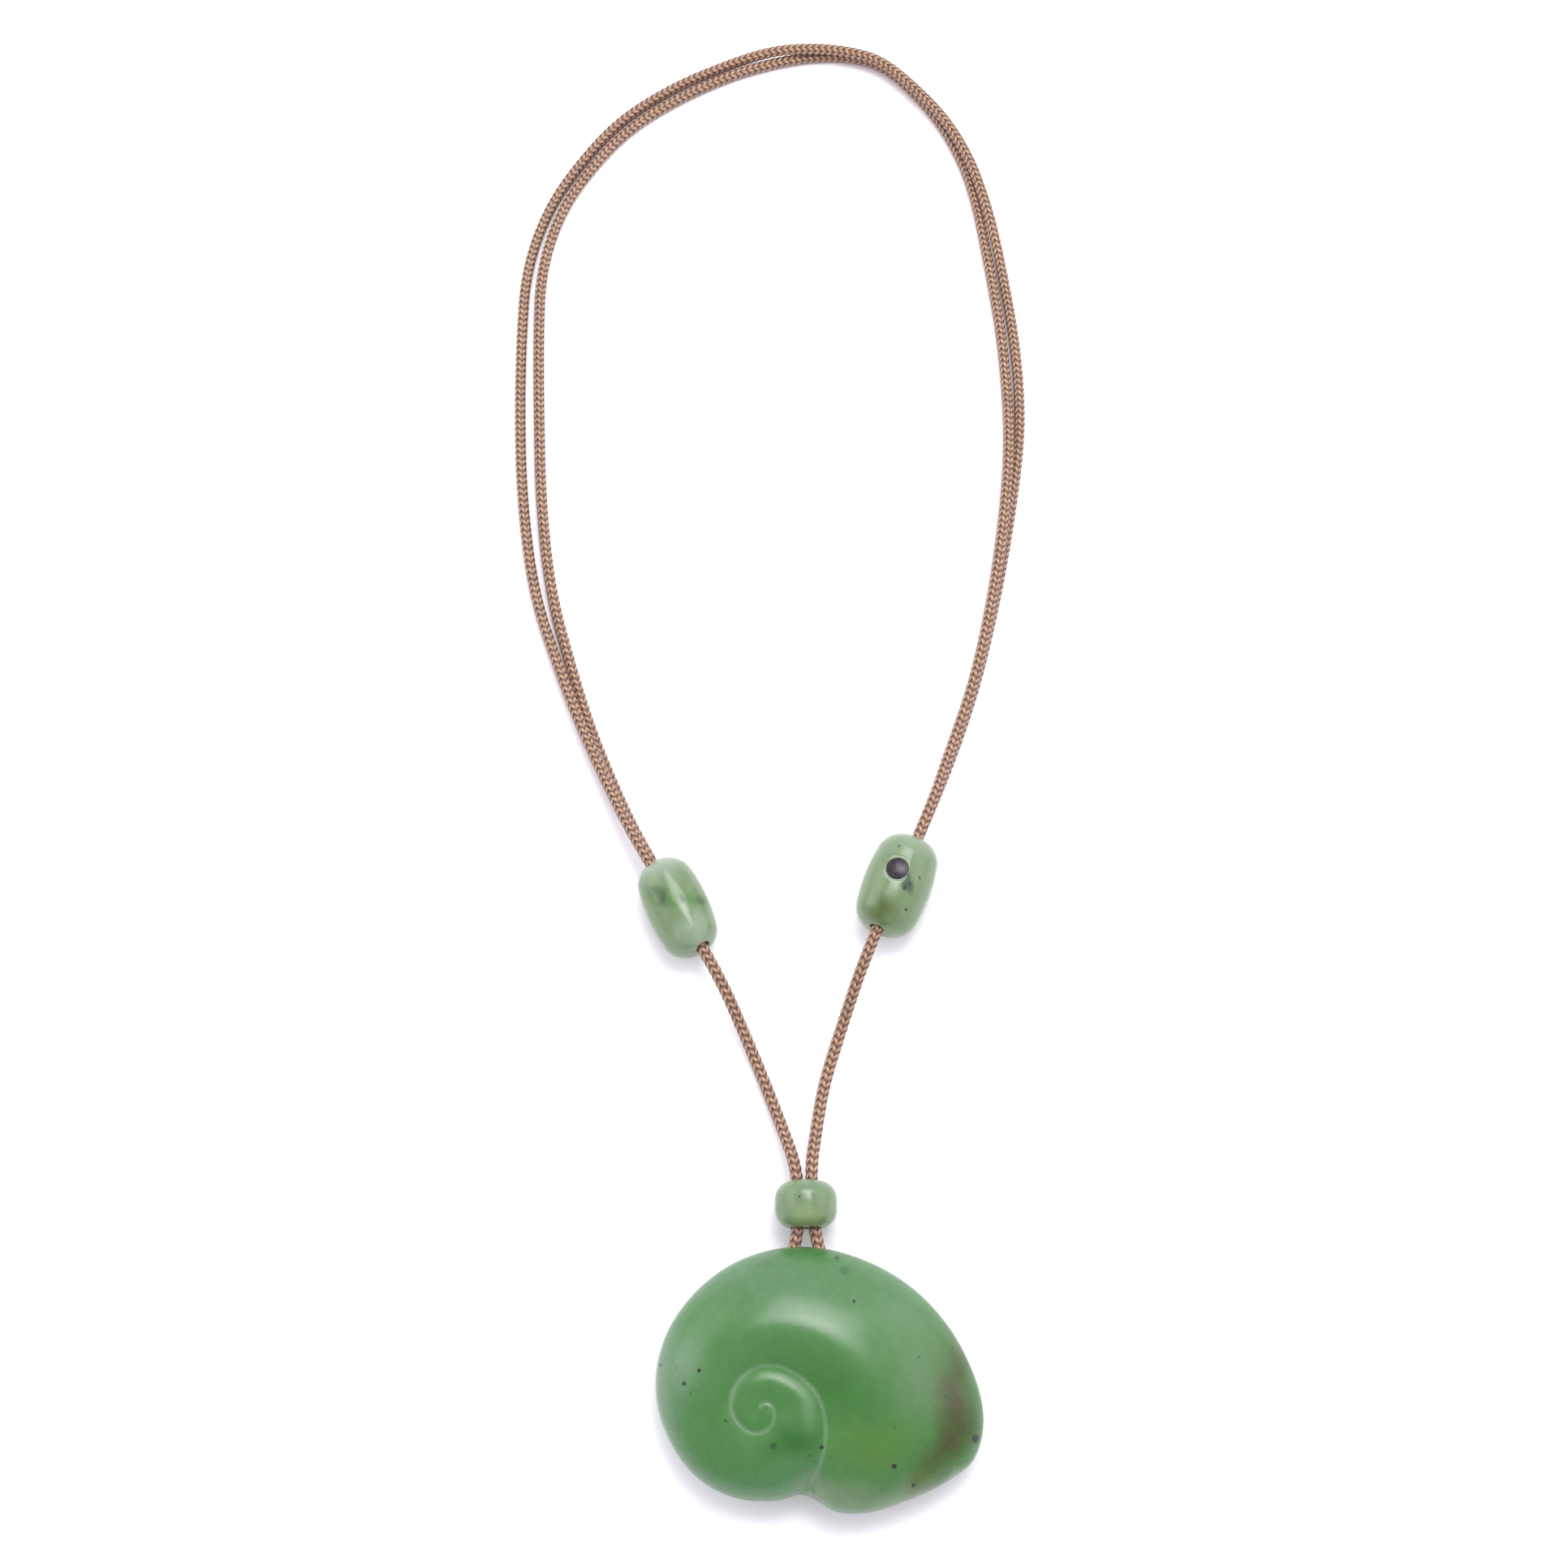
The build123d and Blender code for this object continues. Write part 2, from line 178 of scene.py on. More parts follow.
# %% Places along the cord
BRAID_TURN = 9.4 * MM            # length of cord in which a strand goes once round
STEPS_PER_TURN = 24
STRANDS_EACH_WAY = 8
PICK_COLUMNS = 8                 # round the cord


def evenly_along(line, step):
    """Places one step apart along a line of points."""
    places, wanted, walked = [], 0.0, 0.0
    for start, end in zip(line, line[1:]):
        run = (end - start).length
        while wanted <= walked + run and run > 0:
            places.append(start.lerp(end, (wanted - walked) / run))
            wanted += step
        walked += run
    return places


def with_directions(places):
    """Each place with the cord's heading there and two directions square to it, which never twist."""
    headings = [(after - before).normalized() for before, after in zip(places, places[1:])]
    headings.append(headings[-1])
    side = headings[0].orthogonal()
    stations = []
    for place, heading in zip(places, headings):
        side = (side - heading * side.dot(heading)).normalized()
        stations.append((place, heading, side, heading.cross(side)))
    return stations


stations = with_directions(evenly_along(cord_line, BRAID_TURN / STEPS_PER_TURN))
print(f"{len(stations)} stations along the cord, {BRAID_TURN / STEPS_PER_TURN * 1000:.3f} mm apart")

# %% Braid the strands
STRAND_MIDDLE = 0.72 * MM        # mean distance of a strand's middle from the cord's
STRAND_LIFT = 0.12 * MM          # above and below that, at the crossings
STRAND_HALF_WIDTH = 0.28 * MM
STRAND_HALF_THICKNESS = 0.16 * MM
STRAND_SIDES = 5
CORE_RADIUS = 0.52 * MM          # filler yarn inside the braid
CORE_SIDES = 8
CORE_STEP = 3                    # stations from ring to ring of the filler, which is hardly seen
STRAND_SMOOTH_ANGLE = math.radians(80)


def tube_faces(first, rings, sides):
    """Faces of a tube whose rings of points follow each other, with both ends closed."""
    faces = []
    for ring in range(rings - 1):
        start = first + ring * sides
        for side in range(sides):
            after = (side + 1) % sides
            faces.append((start + side, start + after, start + sides + after, start + sides + side))
    last = first + (rings - 1) * sides
    faces.append(tuple(first + side for side in reversed(range(sides))))
    faces.append(tuple(last + side for side in range(sides)))
    return faces


def strand_points(stations, way, number):
    """Rings of points round one strand, and each point's place on it: across, along and how high it lies."""
    points, marks = [], []
    for index, (place, heading, side, up) in enumerate(stations):
        turned = way * math.tau * index / STEPS_PER_TURN + math.tau * number / STRANDS_EACH_WAY
        out = math.cos(turned) * side + math.sin(turned) * up
        round_ = math.cos(turned) * up - math.sin(turned) * side
        middle = STRAND_MIDDLE + STRAND_LIFT * way * math.cos(PICK_COLUMNS / 2 * turned)
        slope = way * math.tau * middle / BRAID_TURN
        across = (heading + slope * round_).normalized().cross(out)
        for corner in range(STRAND_SIDES):
            angle = math.tau * (corner + 0.5) / STRAND_SIDES - math.pi / 2
            width = STRAND_HALF_WIDTH * math.cos(angle)
            height = STRAND_HALF_THICKNESS * math.sin(angle)
            points.append(place + (middle + height) * out + width * across)
            reach_out = math.hypot(middle + height, width)
            marks.append((corner / STRAND_SIDES, index / STEPS_PER_TURN, reach_out / (CORD_DIAMETER / 2)))
    return points, marks


def core_points(stations):
    """Rings of points round the filler yarn, all marked as deep inside."""
    points, marks = [], []
    for place, heading, side, up in stations:
        for corner in range(CORE_SIDES):
            angle = math.tau * corner / CORE_SIDES
            points.append(place + CORE_RADIUS * (math.cos(angle) * side + math.sin(angle) * up))
            marks.append((0.0, 0.0, CORE_RADIUS / (CORD_DIAMETER / 2)))
    return points, marks


def select_only(piece):
    """Selects this piece and nothing else, as the tools in bpy.ops need it."""
    bpy.ops.object.select_all(action="DESELECT")
    piece.select_set(True)
    bpy.context.view_layer.objects.active = piece


def new_piece(name, points, faces):
    """A mesh object at the origin, with its place in its points."""
    mesh = bpy.data.meshes.new(name)
    mesh.from_pydata(points, [], faces)
    mesh.update()
    piece = bpy.data.objects.new(name, mesh)
    bpy.context.scene.collection.objects.link(piece)
    return piece


def braid_half(name, way, with_core):
    """The strands that wind one way, as one piece."""
    points, marks, faces = [], [], []
    for number in range(STRANDS_EACH_WAY):
        first = len(points)
        more_points, more_marks = strand_points(stations, way, number)
        points += more_points
        marks += more_marks
        faces += tube_faces(first, len(stations), STRAND_SIDES)
    if with_core:
        thinned = stations[::CORE_STEP] + stations[-1:]
        first = len(points)
        more_points, more_marks = core_points(thinned)
        points += more_points
        marks += more_marks
        faces += tube_faces(first, len(thinned), CORE_SIDES)
    piece = new_piece(name, points, faces)
    mark = piece.data.attributes.new("strand_place", "FLOAT_VECTOR", "POINT")
    mark.data.foreach_set("vector", [value for row in marks for value in row])
    select_only(piece)
    bpy.ops.object.shade_smooth_by_angle(angle=STRAND_SMOOTH_ANGLE)
    print(f"{name}: {len(piece.data.vertices)} points, {2 * len(faces)} triangles or so")
    return piece


cord_right = braid_half("cord_strands_right", 1, True)
cord_left = braid_half("cord_strands_left", -1, False)
bpy.data.objects.remove(route)

for piece in (cord_right, cord_left):
    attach(piece, "root")
    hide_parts("neck_cord")
print("cord declared, from", CORD_ROUTE[0], "to", CORD_ROUTE[-1])

# %% [markdown]
# The shell is one carved stone. Seen from above, a snail's shell is one spiral line: first the groove
# between the whorls, winding out from the tip, and then, without a break, the shell's own outline.
# It could be sculpted, but a sculpted spiral is never even. Here the line is one short table, read
# smoothly, and the surface is a strip that follows it from the tip to the lip, as wide as the whorl is at
# each place. Each whorl is a part of a dome. The dome of the inner whorl eases down to meet the outline at
# the notch in the lower edge.

# %% The shell's sizes, in millimetres
SHELL_REACH = 32.2         # from the tip of the spiral to the far end of the lip
EDGE_HEIGHT = 4.8          # where the shell is widest
SPIRE_HEIGHT = 12.4        # at the tip of the spiral
CREST_RISE = 1.6           # what the body whorl stands above a plain dome
CREST_DIRECTION = 310.0    # degrees clockwise from +X, seen from above
DOME_POWER = 3.0           # fuller than an ellipse
GROOVE_DEPTH = 2.2
GROOVE_INNER_SHARE = 0.50  # width of the groove on the tip's side, as a share of the distance from the tip
GROOVE_OUTER_SHARE = 1.20  # and on the lip's side
EASE_TURN = 378            # from this turn on the inner whorl slopes down to meet the edge at the notch
BACK_INSET = 4.0           # how far the underside curves in before it meets the flat back

# Spiral line: turn in degrees clockwise from +X, its distance from the tip as a share of SHELL_REACH,
# and the groove's depth there as a share of GROOVE_DEPTH. It is the groove between the whorls up to the
# notch, and from there on the outline of the shell, once round to the notch again.
SPIRAL = [
    # turn, reach, depth
    (-59, 0.000, 0.00),
    (-8, 0.046, 0.05),
    (35, 0.073, 0.10),
    (60, 0.092, 0.13),
    (85, 0.107, 0.15),
    (110, 0.114, 0.17),
    (145, 0.118, 0.18),
    (190, 0.132, 0.24),
    (240, 0.153, 0.38),
    (285, 0.181, 0.56),
    (320, 0.210, 0.56),
    (350, 0.256, 0.48),
    (380, 0.304, 0.36),
    (400, 0.346, 0.22),
    (421, 0.397, 0.00),
    (450, 0.390, 0.00),
    (485, 0.401, 0.00),
    (520, 0.428, 0.00),
    (545, 0.473, 0.00),
    (573, 0.532, 0.00),
    (597, 0.587, 0.00),
    (621, 0.659, 0.00),
    (645, 0.738, 0.00),
    (665, 0.803, 0.00),
    (688, 0.891, 0.00),
    (706, 0.955, 0.00),
    (722, 1.000, 0.00),
    (733, 0.973, 0.00),
    (740, 0.889, 0.00),
    (750, 0.765, 0.00),
    (766, 0.614, 0.00),
    (775, 0.5155, 0.00),
    (781, 0.397, 0.00),
]
FULL_TURN = 360
FIRST_TURN = SPIRAL[0][0]
LAST_TURN = SPIRAL[-1][0]
NOTCH_TURN = LAST_TURN - FULL_TURN
COLUMNS_PER_TURN = 180
WHORL_ROWS = 30            # faces across a whorl
BACK_ROWS = 14             # faces round the lower edge
print("spiral line:", len(SPIRAL), "places,", (LAST_TURN - FIRST_TURN) / FULL_TURN, "turns")

# %% The carved surface
def spiral_value(turn, column):
    """Value of a column of the spiral table at a turn, on a smooth line through its rows."""
    last = len(SPIRAL) - 1
    row = max(index for index in range(last) if SPIRAL[index][0] <= turn)
    start, end = SPIRAL[row], SPIRAL[row + 1]
    span = end[0] - start[0]
    t = (turn - start[0]) / span

    def slope(index):
        """How steep the line is at a row."""
        before = SPIRAL[max(index - 1, 0)]
        after = SPIRAL[min(index + 1, last)]
        return (after[column] - before[column]) / (after[0] - before[0])

    rise = end[column] - start[column]
    m, n = slope(row) * span, slope(row + 1) * span
    return start[column] + t * m + t ** 2 * (3 * rise - 2 * m - n) + t ** 3 * (m + n - 2 * rise)


def reach(turn):
    """Distance of the spiral line from the tip; nothing before its first turn."""
    return SHELL_REACH * spiral_value(turn, 1) if turn > FIRST_TURN else 0.0


def inner_edge(turn):
    """Where the dome of the inner whorl would end: the outline, eased to meet the groove at the notch."""
    eased = min(max((turn - EASE_TURN) / (NOTCH_TURN - EASE_TURN), 0.0), 1.0)
    eased = eased ** 2 * (3 - 2 * eased)
    return (1 - eased) * reach(turn + FULL_TURN) + eased * reach(NOTCH_TURN)


def dome_share(share):
    """Height of a dome of height 1 at a share of the way to its edge."""
    return math.sqrt(max(0.0, 1 - share ** DOME_POWER))


def dome_height(turn, share):
    """Height of the smooth front with its raised crest, at a share of the way to its edge."""
    towards_crest = 0.5 + 0.5 * math.cos(math.radians(turn - CREST_DIRECTION))
    crest = CREST_RISE * (towards_crest * 4 * share * (1 - share)) ** 2
    return EDGE_HEIGHT + (SPIRE_HEIGHT - EDGE_HEIGHT) * dome_share(share) + crest


def nearness(radius, line, edge):
    """1 on the line of a groove, falling to 0 at the groove's two sides."""
    if radius == line:
        return 1.0
    if radius < line:
        width = GROOVE_INNER_SHARE * line
    else:
        width = min(GROOVE_OUTER_SHARE * line, edge - line)
    return max(0.0, 1 - abs(radius - line) / width) ** 2


def front_height(turn, radius):
    """Height of the front at a distance from the tip: the domes of the whorls, less the grooves."""
    while turn < NOTCH_TURN:
        turn += FULL_TURN
    edge = reach(turn)
    line_turn = turn - FULL_TURN
    line, line_edge = reach(line_turn), inner_edge(line_turn)
    if radius <= line:
        height = dome_height(turn, radius / line_edge)
    else:
        step = dome_height(turn, line / line_edge) - dome_height(turn, line / edge)
        height = dome_height(turn, min(radius / edge, 1.0)) + step * nearness(radius, line, edge)
    while line_turn > FIRST_TURN:
        line = reach(line_turn)
        depth = GROOVE_DEPTH * spiral_value(line_turn, 2) * dome_share(line / line_edge)
        height -= depth * nearness(radius, line, edge)
        line_turn -= FULL_TURN
    return height


def shell_point(turn, radius, height):
    """A point's place in mm, rounded so that neighbours share it exactly."""
    angle = math.radians(turn)
    return (round(radius * math.cos(angle), 5), round(-radius * math.sin(angle), 5), round(height, 5))


def whorl_column(turn):
    """Points across the whorl at one turn, from the groove one turn back out to the spiral line."""
    inner, outer = reach(turn - FULL_TURN), reach(turn)
    column = []
    for row in range(WHORL_ROWS + 1):
        share = 0.5 - 0.5 * math.cos(math.pi * row / WHORL_ROWS)
        radius = inner + share * (outer - inner)
        column.append(shell_point(turn, radius, front_height(turn, radius)))
    return column


def back_column(turn):
    """Points from the widest line round under the edge to the flat back and in to the middle."""
    outline = reach(turn)
    column = []
    for row in range(BACK_ROWS + 1):
        angle = math.pi / 2 * row / BACK_ROWS
        radius = outline - BACK_INSET * (1 - math.cos(angle))
        column.append(shell_point(turn, radius, EDGE_HEIGHT * (1 - math.sin(angle))))
    column.append((0.0, 0.0, 0.0))
    return column


def drop_repeats(corners):
    """A face's corners without those that fall on the one before."""
    kept = [corner for index, corner in enumerate(corners) if corner != corners[index - 1]]
    return tuple(kept) if len(kept) > 2 else None


def mark_groove(piece, points, line):
    """Gives each point of the piece its distance in mm from the groove's line."""
    groove = kdtree.KDTree(len(line))
    for index, place in enumerate(line):
        groove.insert(place, index)
    groove.balance()
    gap = piece.data.attributes.new("groove_gap", "FLOAT", "POINT")
    gap.data.foreach_set("value", [groove.find(point)[2] / MM for point in points])


def carve_shell(name):
    """The shell's closed surface, as one strip along the spiral and one round the edge and under the back."""
    step = FULL_TURN / COLUMNS_PER_TURN
    count = math.ceil((LAST_TURN - FIRST_TURN) / step)
    turns = [max(FIRST_TURN, LAST_TURN - step * column) for column in range(count, -1, -1)]
    whorls = [whorl_column(turn) for turn in turns]
    backs = [back_column(turn) for turn in turns[-COLUMNS_PER_TURN - 1:]]
    numbers, points, faces = {}, [], []
    for strip in (whorls, backs):
        for first, second in zip(strip, strip[1:]):
            for row in range(len(first) - 1):
                corners = []
                for corner in (first[row], second[row], second[row + 1], first[row + 1]):
                    if corner not in numbers:
                        numbers[corner] = len(points)
                        points.append(Vector(corner) * MM)
                    corners.append(numbers[corner])
                face = drop_repeats(corners)
                if face:
                    faces.append(face)
    piece = new_piece(name, points, faces)
    mark_groove(piece, points, [Vector(column[0]) * MM for column in whorls])
    return piece


shell = carve_shell("shell_stone")
print(f"shell: {len(shell.data.vertices)} points, {len(shell.data.polygons)} faces")

# %% [markdown]
# The tunnel that the cord runs through starts and ends in the shell's top edge. On the real piece it is
# drilled from both sides until the holes meet. A boolean with a round bar along the cord's own route does
# the same here. The mesh is cleaned first, because a boolean needs a closed surface whose faces all point
# outwards. A polishing cloth rounds what it rubs over, so the crease where the spiral meets the notch is
# smoothed before that.

# %% Drill the tunnel
BORE_DIAMETER = 2.4 * MM
SHELL_MERGE_GAP = 0.005 * MM
DRILL_MERGE_GAP = 0.001 * MM
DRILL_RESOLUTION = 12            # pieces of the drill's line between two points of the route
DRILL_ROUNDNESS = 7              # bevel resolution
SHELL_SMOOTH_ANGLE = math.radians(40)
NOTCH_PLACE = (7.2, -10.3)       # mm from the tip, where the polishing cloth rounds the crease
NOTCH_REACH = 4.5                # mm
NOTCH_FULL_SHARE = 1 / 3         # of the reach, in which the cloth rubs fully
NOTCH_LOW, NOTCH_HIGH = 1.0, 3.0     # mm above the table, from no rubbing to full
NOTCH_PASSES = 60                # of the cloth


def clean(piece, gap):
    """Joins points that meet and turns every face outwards."""
    select_only(piece)
    bpy.ops.object.mode_set(mode="EDIT")
    bpy.ops.mesh.select_all(action="SELECT")
    bpy.ops.mesh.remove_doubles(threshold=gap)
    bpy.ops.mesh.normals_make_consistent(inside=False)
    bpy.ops.object.mode_set(mode="OBJECT")


def apply_modifier(piece, kind, **settings):
    """Gives the piece a modifier with these settings and makes its result the piece's own shape."""
    select_only(piece)
    modifier = piece.modifiers.new(kind.lower(), kind)
    for setting, value in settings.items():
        setattr(modifier, setting, value)
    bpy.ops.object.modifier_apply(modifier=modifier.name)


def notch_weight(x, y, z):
    """How hard the cloth rubs at a place in mm: full at the notch, nothing far from it or near the table."""
    gap = math.hypot(x - NOTCH_PLACE[0], y - NOTCH_PLACE[1])
    near = (1 - gap / NOTCH_REACH) / (1 - NOTCH_FULL_SHARE)
    high = (z - NOTCH_LOW) / (NOTCH_HIGH - NOTCH_LOW)
    return min(1.0, max(0.0, near)) * min(1.0, max(0.0, high))


clean(shell, SHELL_MERGE_GAP)
notch = shell.vertex_groups.new(name="notch")
for vertex in shell.data.vertices:
    weight = notch_weight(*(value / MM for value in vertex.co))
    if weight > 0:
        notch.add([vertex.index], weight, "REPLACE")
apply_modifier(shell, "SMOOTH", factor=0.5, iterations=NOTCH_PASSES, vertex_group="notch")
drill = route_spline("drill", CORD_ROUTE[TUNNEL_START:TUNNEL_END + 1], DRILL_RESOLUTION)
drill.data.bevel_depth = BORE_DIAMETER / 2
drill.data.bevel_resolution = DRILL_ROUNDNESS
drill.data.use_fill_caps = True
select_only(drill)
bpy.ops.object.convert(target="MESH")
clean(drill, DRILL_MERGE_GAP)
apply_modifier(shell, "BOOLEAN", operation="DIFFERENCE", object=drill, solver="EXACT")
bpy.data.objects.remove(drill)
select_only(shell)
bpy.ops.object.shade_smooth_by_angle(angle=SHELL_SMOOTH_ANGLE)
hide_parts("shell_pendant")
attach(shell, "root")
print(f"drilled shell: {len(shell.data.polygons)} faces")

# %% [markdown]
# Materials. Every stone and the cord get a material built from nodes, so that it works at any distance and
# needs no picture files. Four small helpers are enough: one turns a colour as a designer writes it into the
# linear numbers that light works in, one starts a material with no nodes, one adds a node with its settings
# and links, and one gives the place in millimetres, so that every pattern has its real size.

# %% Material helpers
def linear(hex_colour):
    """sRGB hex colour as linear red, green, blue and alpha."""
    shares = [int(hex_colour[place:place + 2], 16) / 255 for place in (1, 3, 5)]
    return [s / 12.92 if s <= 0.04045 else ((s + 0.055) / 1.055) ** 2.4 for s in shares] + [1.0]


def new_material(name):
    """A material with an empty node tree."""
    material = bpy.data.materials.new(name)
    material.use_nodes = True
    material.node_tree.nodes.clear()
    return material


def add_node(material, kind, inputs=None, **settings):
    """A node with its settings; each input is a value or another node's output, by its name or number."""
    node = material.node_tree.nodes.new(kind)
    for setting, value in settings.items():
        setattr(node, setting, value)
    for socket, value in (inputs or {}).items():
        if isinstance(value, bpy.types.NodeSocket):
            material.node_tree.links.new(value, node.inputs[socket])
        else:
            node.inputs[socket].default_value = value
    return node


def millimetres(material):
    """The place in the piece, in mm, as a node's output."""
    place = add_node(material, "ShaderNodeTexCoord")
    scaled = add_node(
        material, "ShaderNodeVectorMath", {0: place.outputs["Object"], "Scale": 1 / MM}, operation="SCALE",
    )
    return scaled.outputs[0]


MIX_FACTOR, MIX_A, MIX_B, MIX_RESULT = 0, 6, 7, 2      # sockets of a Mix node that mixes colours
NOISE_LOW, NOISE_HIGH = 0.3, 0.7       # most values of a noise texture lie between these
print("middle grey #808080 in linear light:", round(linear("#808080")[0], 3))

# %% [markdown]
# Nephrite jade is a felt of very fine mineral fibres. Light goes a millimetre or two into it and comes out
# again, so it looks deep and soft, thin edges look pale, and there is no clear grain. Its colour changes in
# cloudy zones: milky, grass green, and rust brown where the pebble was weathered. Black specks are tiny
# crystals inside it.
# An image of jade could be wrapped on, but it would stretch over the dome. Clouds at places in space go
# through the stone as they do in the real one: each is a soft ball of colour, stretched and turned, its
# edge warped by noise. All places are in millimetres from the tip of the spiral, so the table can be
# checked with a ruler.
# A pale line also runs along the groove, where its edge catches the light; it is painted here as a highlight.
# Each point of the shell carries its distance from the groove, and the colour turns paler by that.

# %% The colour inside the stone
CLOUD_WARP = 6.0                 # mm that noise can push a cloud's edge, from end to end
CLOUD_WARP_WAVES = 0.16          # of that noise, per mm
CLOUD_HALF_DEPTH = 12.0          # mm, of every cloud along Z
# a painted highlight along the groove, where its edge catches the light: its half width and colour
GROOVE_HIGHLIGHT_EDGE = 0.55               # mm, half width of the pale line along the groove
GROOVE_HIGHLIGHT_COLOUR = "#a9caa6"


def clouded(material, in_mm, base, clouds):
    """The base colour with the clouds in it, their edges warped by noise."""
    warp = add_node(
        material, "ShaderNodeTexNoise", {"Vector": in_mm, "Scale": CLOUD_WARP_WAVES, "Detail": 3.0},
    )
    shift = add_node(
        material, "ShaderNodeVectorMath",
        {0: warp.outputs["Color"], 1: (0.5, 0.5, 0.5)}, operation="SUBTRACT",
    )
    warped = add_node(
        material, "ShaderNodeVectorMath",
        {0: shift.outputs[0], 1: (CLOUD_WARP, CLOUD_WARP, CLOUD_WARP), 2: in_mm}, operation="MULTIPLY_ADD",
    )
    colour = linear(base)
    for x, y, z, length, width, turn, strength, cloud_colour in clouds:
        cloud_place = add_node(
            material, "ShaderNodeMapping",
            {"Vector": warped.outputs[0], "Location": (x, y, z),
             "Rotation": (0, 0, math.radians(turn)), "Scale": (length, width, CLOUD_HALF_DEPTH)},
            vector_type="TEXTURE",
        )
        ball = add_node(
            material, "ShaderNodeTexGradient", {"Vector": cloud_place.outputs[0]}, gradient_type="SPHERICAL",
        )
        soft = add_node(
            material, "ShaderNodeMapRange", {"Value": ball.outputs["Fac"], "To Max": strength},
            interpolation_type="SMOOTHSTEP",
        )
        mixed = add_node(
            material, "ShaderNodeMix",
            {MIX_FACTOR: soft.outputs[0], MIX_A: colour, MIX_B: linear(cloud_colour)}, data_type="RGBA",
        )
        colour = mixed.outputs[MIX_RESULT]
    return colour


def painted_highlight_at_groove(material, colour, strength):
    """The colour with a painted highlight: paler near the groove's line."""
    gap = add_node(material, "ShaderNodeAttribute", attribute_name="groove_gap")
    edge = add_node(
        material, "ShaderNodeMapRange",
        {"Value": gap.outputs["Fac"], "From Max": GROOVE_HIGHLIGHT_EDGE, "To Min": strength, "To Max": 0.0},
        interpolation_type="SMOOTHSTEP",
    )
    mixed = add_node(
        material, "ShaderNodeMix",
        {MIX_FACTOR: edge.outputs[0], MIX_A: colour, MIX_B: linear(GROOVE_HIGHLIGHT_COLOUR)}, data_type="RGBA",
    )
    return mixed.outputs[MIX_RESULT]


# The shell's clouds: place, half length, half width, turn in degrees, strength, colour. Most are the stone's
# own colour; the rows marked below are painted light.
SHELL_CLOUDS = [
    # x, y, z, length, width, turn, strength, colour
    (2.0, 18.0, 10, 28, 10, -8, 0.75, "#729e70"),
    (-14.0, 4.0, 9, 10, 13, 0, 0.75, "#82aa82"),
    (20.0, 14.0, 10, 13, 9, -35, 0.62, "#72a06e"),
    (22.0, 3.0, 11, 6, 10, 10, 0.55, "#76986c"),
    (10.5, 2.0, 12, 12, 8, -30, 0.90, "#35851a"),
    (-7.0, 0.0, 11, 8, 6, 0, 0.5, "#388628"),
    (1.5, -0.5, 12, 5.5, 4, 0, 0.5, "#358a26"),
    (16.5, -5.0, 12, 10, 6, 0, 0.65, "#5c931c"),
    (2.0, -10.0, 9, 12, 5, 0, 0.45, "#56a05c"),
    (4.5, -4.6, 12, 6.5, 3.4, 10, 0.90, "#1c780c"),
    # painted highlight: a pale rim on the inner whorl's shoulder beside the groove
    (6.6, 0.4, 13, 1.5, 4.6, 10, 0.60, "#7aac78"),
    # painted light: paler along the thin lower edge, at the notch and to its right
    (10.5, -11.8, 7, 8, 4.5, 0, 0.80, "#96ae86"),
    (20.0, -13.0, 6, 11, 4.5, 15, 0.80, "#90aa7c"),
    (25.5, 3.5, 9, 3.4, 9, 0, 0.45, "#647a3c"),
    (28.5, 11.0, 7, 3.2, 8, 8, 0.6, "#6a7234"),
    (28.0, 0.6, 8, 4.8, 11, -3, 1.0, "#4e4802"),
    (26.4, -5.6, 9, 4.0, 7.5, -42, 1.0, "#475603"),
    (22.6, -10.2, 8, 3.0, 5, -38, 0.9, "#5a7612"),
    (27.8, -11.2, 5, 4.6, 2.2, 40, 0.75, "#b4b898"),
]
print(len(SHELL_CLOUDS), "clouds of colour in the shell")

# %% [markdown]
# The crystals differ from the clouds: they are small and almost black, and their edges are sharp but
# ragged. Each one in the table is a ball that fades near its edge. A cell pattern adds a dust of others,
# one to a cell, because those are too many and too small to place by hand.

# %% The crystals
SPECK_COLOUR = "#04090c"
SPECK_RAGGED = 0.35              # mm that noise can push a crystal's edge, from end to end
SPECK_RAGGED_WAVES = 2.5         # of that noise, per mm
SPECK_Z_WEIGHT = 0.3             # of distance along Z, so a crystal a little off its height still shows
DUST_INNER, DUST_OUTER = 0.015, 0.035       # radii of a dust crystal, as shares of a cell
DUST_DARKNESS = 0.5              # of the dust, where 1 is as dark as a crystal gets


